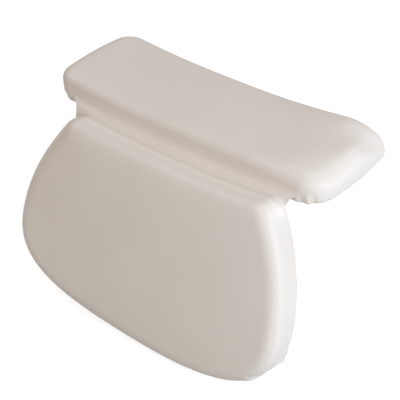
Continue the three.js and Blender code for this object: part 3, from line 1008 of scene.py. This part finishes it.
def sheet_mesh(pad, outline):
    """Points and faces of a flat sheet inside an outline, open where the studs pass through."""
    low, high = outline.min(axis=0), outline.max(axis=0)
    columns = np.arange(low[0], high[0], SHEET_GRID)
    rows = np.arange(low[1], high[1], SHEET_GRID)
    grid = np.stack(np.meshgrid(columns, rows), -1).reshape(-1, 2)
    _, inset = nearest(pad, grid)
    clear = inset > SHEET_INSET + SHEET_GRID / 2
    centres = [np.array(lip.xy) for lip in pad.cups.values()]
    for centre in centres:
        clear &= np.linalg.norm(grid - centre, axis=1) > STUD_HOLE_RADIUS + SHEET_GRID / 2
    loops = [outline, *(centre + circle(STUD_HOLE_RADIUS, STUD_HOLE_POINTS) for centre in centres)]
    spots = [Vector(spot) for spot in np.vstack([*loops, grid[clear]])]
    points, _, filled, *_ = delaunay_2d_cdt(spots, loop_edges(loops), [], TRIANGLES_INSIDE, SHEET_MERGE)
    faces = []
    for face in filled:
        middle = sum((points[corner] for corner in face), Vector((0, 0))) / len(face)
        if all((middle - Vector(centre)).length > STUD_HOLE_RADIUS for centre in centres):
            faces.append(face)
    return points, faces


def make_back_sheet(pad, finish):
    outline = (pad.outline - pad.normals * SHEET_INSET)[::SHEET_OUTLINE_STRIDE]
    points, faces = sheet_mesh(pad, outline)
    top = SHEET_BASE + SHEET_WALL
    sheet = new_object(f"{pad.body}_sheet", [(point.x, point.y, top) for point in points], faces)
    give_wall(sheet, SHEET_WALL)
    set_in_place(pad, sheet, round_studs(pad, sheet))
    fit_out(sheet, finish, pad.body, [f"{pad.body}_back_sheet"])


def turned(name, profile, place):
    """A piece turned about its own axis and set in its place."""
    shape = bmesh.new()
    rows = []
    for radius, height in profile:
        spots = circle(radius, TURN_STEPS if radius else 1)
        rows.append([shape.verts.new((x, y, height)) for x, y in spots])
    for low, high in zip(rows, rows[1:]):
        for j in range(TURN_STEPS):
            after = (j + 1) % TURN_STEPS
            lower = [low[j % len(low)], low[after % len(low)]]
            upper = [high[after % len(high)], high[j % len(high)]]
            shape.faces.new(list(dict.fromkeys(lower + upper)))
    bmesh.ops.remove_doubles(shape, verts=shape.verts, dist=MERGE_DISTANCE)
    bmesh.ops.recalc_face_normals(shape, faces=shape.faces)
    made = object_from(name, shape)
    made.data.transform(place)
    return made


def cup_profile():
    """Dish with two moulded rings, thin lip, dome, shoulder and headed stud."""
    rise = DISH_DEPTH + CUP_WALL - LIP_EDGE
    profile = []
    for radius in np.linspace(0, DISH_RADIUS, DISH_POINTS):
        from_rings = [(radius - ring) / DISH_RING_WIDTH for ring in DISH_RING_RADII]
        ridge = sum(DISH_RING_HEIGHT * math.exp(-(away ** 2)) for away in from_rings)
        profile.append((radius, DISH_DEPTH * (1 - (radius / DISH_RADIUS) ** 2) - ridge))
    profile.append((CUP_RADIUS - LIP_ROUND_IN, 0))
    profile.append((CUP_RADIUS, LIP_ROUND_UP))
    for radius in np.linspace(CUP_RADIUS, SHOULDER_RADIUS, DOME_POINTS):
        profile.append((radius, LIP_EDGE + rise * (1 - (radius / CUP_RADIUS) ** 2)))
    profile += [(SHOULDER_RADIUS - inward, CUP_HEIGHT - down) for inward, down in SHOULDER_ROUND]
    profile += [(STUD_RADIUS, CUP_HEIGHT), (STUD_RADIUS, HEAD_BASE)]
    profile += [(HEAD_RADIUS, HEAD_BASE), (HEAD_RADIUS, HEAD_BASE + HEAD_EDGE)]
    profile += [(STUD_RADIUS, HEAD_TOP), (0, HEAD_TOP)]
    return profile


def patch_profile():
    return [
        (STUD_HOLE_RADIUS, 0),
        (PATCH_RADIUS - PATCH_EDGE, 0),
        (PATCH_RADIUS, PATCH_EDGE),
        (PATCH_RADIUS, PATCH_WALL - PATCH_EDGE),
        (PATCH_RADIUS - PATCH_EDGE, PATCH_WALL),
        (STUD_HOLE_RADIUS, PATCH_WALL),
        (STUD_HOLE_RADIUS, 0),
    ]


def make_cups(pad, cup_vinyl, back_vinyl):
    """A suction cup at each stud, and the patch that its stud passes through."""
    for name, lip in pad.cups.items():
        cup = turned(f"{name}_moulding", cup_profile(), pad.place @ Matrix.Translation(lip))
        fit_out(cup, cup_vinyl, name, [name])
        patch_node = name.replace("_cup_", "_patch_")
        spot = pad.place @ Matrix.Translation((lip.x, lip.y, 0))
        patch = turned(f"{patch_node}_disc", patch_profile(), spot)
        fit_out(patch, back_vinyl, pad.body, [patch_node])


# Nodes of finishes and ribs

def add_node(nodes, kind, **values):
    """A node with values for its inputs. An input's name has a space for each underscore."""
    made = nodes.new(kind)
    for name, value in values.items():
        made.inputs[name.replace("_", " ")].default_value = value
    return made


def wire(links, *runs):
    """Links nodes, each run from a node's output to another's input."""
    for source, output, target, socket in runs:
        links.new(source.outputs[output], target.inputs[socket])


# Weld ribs along a path, by Geometry Nodes

def rib_tree():
    """Ribs set across a path: balls one unit across, scaled to a rib's width, length and height."""
    tree = bpy.data.node_groups.new("weld ribs", "GeometryNodeTree")
    tree.interface.new_socket("Path", in_out="INPUT", socket_type="NodeSocketGeometry")
    for name in RibSizes._fields:
        tree.interface.new_socket(name.title(), in_out="INPUT", socket_type="NodeSocketFloat")
    tree.interface.new_socket("Vinyl", in_out="INPUT", socket_type="NodeSocketMaterial")
    tree.interface.new_socket("Ribs", in_out="OUTPUT", socket_type="NodeSocketGeometry")
    new = tree.nodes.new
    given = new("NodeGroupInput")
    path = new("GeometryNodeMeshToCurve")
    spots = new("GeometryNodeCurveToPoints")
    spots.mode = "LENGTH"
    rib = add_node(tree.nodes, "GeometryNodeMeshUVSphere", Segments=RIB_SEGMENTS, Rings=RIB_RINGS,
                   Radius=1 / 2)
    size = new("ShaderNodeCombineXYZ")
    turn = new("FunctionNodeAlignRotationToVector")
    turn.axis = "X"
    turn.pivot_axis = "Z"
    ribs = new("GeometryNodeInstanceOnPoints")
    real = new("GeometryNodeRealizeInstances")
    finish = new("GeometryNodeSetMaterial")
    result = new("NodeGroupOutput")
    wire(tree.links,
         (given, "Path", path, "Mesh"),
         (path, "Curve", spots, "Curve"),
         (given, "Spacing", spots, "Length"),
         (given, "Width", size, "X"),
         (given, "Length", size, "Y"),
         (given, "Height", size, "Z"),
         (spots, "Tangent", turn, "Vector"),
         (spots, "Points", ribs, "Points"),
         (rib, "Mesh", ribs, "Instance"),
         (turn, "Rotation", ribs, "Rotation"),
         (size, "Vector", ribs, "Scale"),
         (ribs, "Instances", real, "Geometry"),
         (real, "Geometry", finish, "Geometry"),
         (given, "Vinyl", finish, "Material"),
         (finish, "Geometry", result, "Ribs"))
    return tree


def make_ribs(name, pad, tree, loops, sizes, finish, hold):
    """Ribs across closed loops that lie on the back of a pad."""
    flat = np.vstack(loops)
    ribs = new_object(name, np.column_stack([flat, np.zeros(len(flat))]), [], loop_edges(loops))
    weld = ribs.modifiers.new("ribs", "NODES")
    weld.node_group = tree
    values = {field.title(): size for field, size in sizes._asdict().items()}
    values["Vinyl"] = finish
    for socket in tree.interface.items_tree:
        if socket.name in values:
            weld[socket.identifier] = values[socket.name]
    bake_modifiers(ribs)
    set_in_place(pad, ribs, round_studs(pad, ribs) if hold else 0)
    fit_out(ribs, finish, pad.body)


def make_pad_ribs(pad, tree, vinyl, back_vinyl):
    hem = pad.outline - pad.normals * HEM_RIB_INSET
    make_ribs(f"{pad.body}_hem_weld", pad, tree, [hem], HEM_RIBS, vinyl, False)
    loops = [np.array(lip.xy) + circle(PATCH_RIB_RADIUS, TURN_STEPS) for lip in pad.cups.values()]
    make_ribs(f"{pad.body}_patch_weld", pad, tree, loops, PATCH_RIBS, back_vinyl, True)


# Finishes

def finish_nodes(name):
    material = bpy.data.materials.new(name)
    material.use_nodes = True
    nodes = material.node_tree.nodes
    return material, nodes, material.node_tree.links, nodes["Principled BSDF"]


def tone_ramp(nodes, dark, light, stops):
    ramp = nodes.new("ShaderNodeValToRGB")
    for element, tone, stop in zip(ramp.color_ramp.elements, (dark, light), stops):
        element.color = (*tone, 1)
        element.position = stop
    return ramp


def vinyl_finish(name, light, dark, grain, depth, roughness, pale=None):
    """Soft vinyl: slow drift of tone, painted light near a weld, fine grain in the surface, and uneven
    gloss.
    """
    material, nodes, links, shader = finish_nodes(name)
    where = nodes.new("ShaderNodeTexCoord")
    drift = add_node(nodes, "ShaderNodeTexNoise", Scale=DRIFT_SCALE, Detail=DRIFT_DETAIL)
    tone = tone_ramp(nodes, dark, light, DRIFT_STOPS)
    pores = add_node(nodes, "ShaderNodeTexNoise", Scale=grain, Detail=GRAIN_DETAIL)
    bump = add_node(nodes, "ShaderNodeBump", Strength=GRAIN_STRENGTH, Distance=depth)
    gloss = add_node(nodes, "ShaderNodeMapRange", To_Min=roughness[0], To_Max=roughness[1])
    wire(links,
         (where, "Object", drift, "Vector"),
         (where, "Object", pores, "Vector"),
         (drift, "Fac", tone, "Fac"),
         (tone, "Color", shader, "Base Color"))
    # Painted light: where the weld attribute is high, the tone is mixed towards the lighter pale colour,
    # lifting the shade in the crease under the flap.
    if pale:
        weld = nodes.new("ShaderNodeAttribute")
        weld.attribute_name = "weld"
        painted_light_mix = nodes.new("ShaderNodeMix")
        painted_light_mix.data_type = "RGBA"
        painted_light_mix.inputs["B"].default_value = (*pale, 1)
        wire(links,
             (weld, "Fac", painted_light_mix, "Factor"),
             (tone, "Color", painted_light_mix, "A"),
             (painted_light_mix, "Result", shader, "Base Color"))
    wire(links,
         (pores, "Fac", bump, "Height"),
         (bump, "Normal", shader, "Normal"),
         (drift, "Fac", gloss, "Value"),
         (gloss, "Result", shader, "Roughness"))
    shader.inputs["Specular IOR Level"].default_value = VINYL_SHEEN
    return material


def cup_finish(name):
    """Milky soft vinyl that lets a little light through."""
    material = vinyl_finish(name, light=(0.86, 0.88, 0.87), dark=(0.82, 0.84, 0.83), grain=500,
                            depth=0.02 * MM, roughness=(0.16, 0.26))
    shader = material.node_tree.nodes["Principled BSDF"]
    shader.inputs["Transmission Weight"].default_value = CUP_CLEARNESS
    shader.inputs["IOR"].default_value = CUP_REFRACTION
    return material


def foam_finish(name):
    """Open foam: pale walls round darker cells."""
    material, nodes, links, shader = finish_nodes(name)
    where = nodes.new("ShaderNodeTexCoord")
    cells = add_node(nodes, "ShaderNodeTexVoronoi", Scale=CELL_SCALE)
    tone = tone_ramp(nodes, CELL_DARK, CELL_PALE, CELL_STOPS)
    bump = add_node(nodes, "ShaderNodeBump", Strength=CELL_STRENGTH, Distance=CELL_DEPTH)
    wire(links,
         (where, "Object", cells, "Vector"),
         (cells, "Distance", tone, "Fac"),
         (tone, "Color", shader, "Base Color"),
         (cells, "Distance", bump, "Height"),
         (bump, "Normal", shader, "Normal"))
    shader.inputs["Roughness"].default_value = FOAM_ROUGHNESS
    shader.inputs["Specular IOR Level"].default_value = FOAM_SHEEN
    return material


# Stage, light and camera

def seen_directly(nodes, links):
    """1 for what the camera sees, straight or in a reflection, and 0 for other light."""
    path = nodes.new("ShaderNodeLightPath")
    through = nodes.new("ShaderNodeMath")
    through.operation = "MAXIMUM"
    links.new(path.outputs["Is Glossy Ray"], through.inputs[0])
    links.new(path.outputs["Is Transmission Ray"], through.inputs[1])
    seen = nodes.new("ShaderNodeMath")
    seen.operation = "MAXIMUM"
    links.new(path.outputs["Is Camera Ray"], seen.inputs[0])
    links.new(through.outputs["Value"], seen.inputs[1])
    return seen.outputs["Value"]


def make_floor(height):
    corners = [(-1, -1), (1, -1), (1, 1), (-1, 1)]
    points = [(x * FLOOR_HALF, y * FLOOR_HALF, height) for x, y in corners]
    floor = new_object("floor", points, [(0, 1, 2, 3)])
    material, nodes, links, shader = finish_nodes("pale floor")
    shader.inputs["Base Color"].default_value = (FLOOR_TONE, FLOOR_TONE, FLOOR_TONE, 1)
    shader.inputs["Roughness"].default_value = FLOOR_ROUGHNESS
    shader.inputs["Specular IOR Level"].default_value = 0
    glow = nodes.new("ShaderNodeMath")
    glow.operation = "MULTIPLY"
    glow.inputs[1].default_value = FLOOR_GLOW
    links.new(seen_directly(nodes, links), glow.inputs[0])
    shader.inputs["Emission Color"].default_value = (1, 1, 1, 1)
    links.new(glow.outputs["Value"], shader.inputs["Emission Strength"])
    floor.data.materials.append(material)


def make_world():
    """White to the camera, and a dimmer, warmer room as a light."""
    world = bpy.data.worlds.new("studio")
    bpy.context.scene.world = world
    world.use_nodes = True
    nodes = world.node_tree.nodes
    links = world.node_tree.links
    tone = nodes.new("ShaderNodeMix")
    tone.data_type = "RGBA"
    tone.inputs["A"].default_value = (*(ROOM_LIGHT * share for share in ROOM_TINT), 1)
    tone.inputs["B"].default_value = (1, 1, 1, 1)
    links.new(seen_directly(nodes, links), tone.inputs["Factor"])
    links.new(tone.outputs["Result"], nodes["Background"].inputs["Color"])


def make_softbox(box):
    lamp = bpy.data.lights.new(box.name, "AREA")
    lamp.shape = "RECTANGLE"
    lamp.size = box.side
    lamp.size_y = box.side
    lamp.energy = box.power
    lamp.color = box.tint
    holder = add_object(box.name, lamp)
    middle = (cad_box[0] + cad_box[1]) / 2
    holder.location = middle + Vector(box.way).normalized() * box.distance
    holder.rotation_euler = (middle - holder.location).to_track_quat("-Z", "Y").to_euler()


def make_camera():
    a, e, roll = VIEW_AZIMUTH, VIEW_ELEVATION, VIEW_ROLL
    back = Vector((math.sin(a) * math.cos(e), -math.cos(a) * math.cos(e), math.sin(e)))
    right = Vector((math.cos(a), math.sin(a), 0))
    up = back.cross(right)
    across = right * math.cos(roll) + up * math.sin(roll)
    above = up * math.cos(roll) - right * math.sin(roll)
    target = VIEW_ORIGIN + across * VIEW_ACROSS + above * VIEW_UP
    data = bpy.data.cameras.new("camera")
    data.lens = VIEW_LENS
    data.sensor_width = VIEW_SENSOR
    data.clip_start = VIEW_NEAR
    data.clip_end = VIEW_FAR
    camera = add_object("camera", data)
    turn = Matrix((across, above, back)).transposed().to_4x4()
    camera.matrix_world = Matrix.Translation(target + back * VIEW_DISTANCE) @ turn
    bpy.context.scene.camera = camera


bpy.context.scene.view_settings.view_transform = "Standard"
make_camera()

# pale is the colour of the painted light along the weld on the panel's ledge and the web.
ivory = vinyl_finish("ivory vinyl", light=(0.745, 0.675, 0.622), dark=(0.725, 0.655, 0.602), grain=900,
                     depth=0.05 * MM, roughness=(0.40, 0.50), pale=(0.86, 0.785, 0.725))
ivory_back = vinyl_finish("ivory backing", light=(0.76, 0.70, 0.64), dark=(0.73, 0.67, 0.61), grain=700,
                          depth=0.12 * MM, roughness=(0.48, 0.60))
milky = cup_finish("milky cup vinyl")
nylon = vinyl_finish("nylon", light=(0.86, 0.85, 0.81), dark=(0.83, 0.82, 0.78), grain=600,
                     depth=0.03 * MM, roughness=(0.45, 0.55))
cream = foam_finish("cream foam")

flap = flap_pad()
panel = panel_pad()
ribs = rib_tree()
for pad in (flap, panel):
    make_skin(pad, ivory)
    make_foam(pad, cream)
    make_back_sheet(pad, ivory_back)
    make_cups(pad, milky, ivory_back)
    make_pad_ribs(pad, ribs, ivory, ivory_back)
make_web(panel, ivory, ivory_back)
# Painted light along the weld, over the shade in the crease under the flap: the panel's skin and the web's
# lower half turn lighter near it.
weld = weld_line(panel)
paint_weld_light(bpy.data.objects["panel_skin"], weld, PAINTED_LIGHT_LEDGE_SPREAD)
paint_weld_light(bpy.data.objects["web_front_lower"], weld, PAINTED_LIGHT_WEB_SPREAD)
for name, node in frame["nodes"].items():
    if "_washer_" in name:
        node.material_slots[0].material = nylon

low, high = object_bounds()
make_floor(low.z)
make_world()
make_softbox(KEY_LIGHT)
make_softbox(FILL_LIGHT)
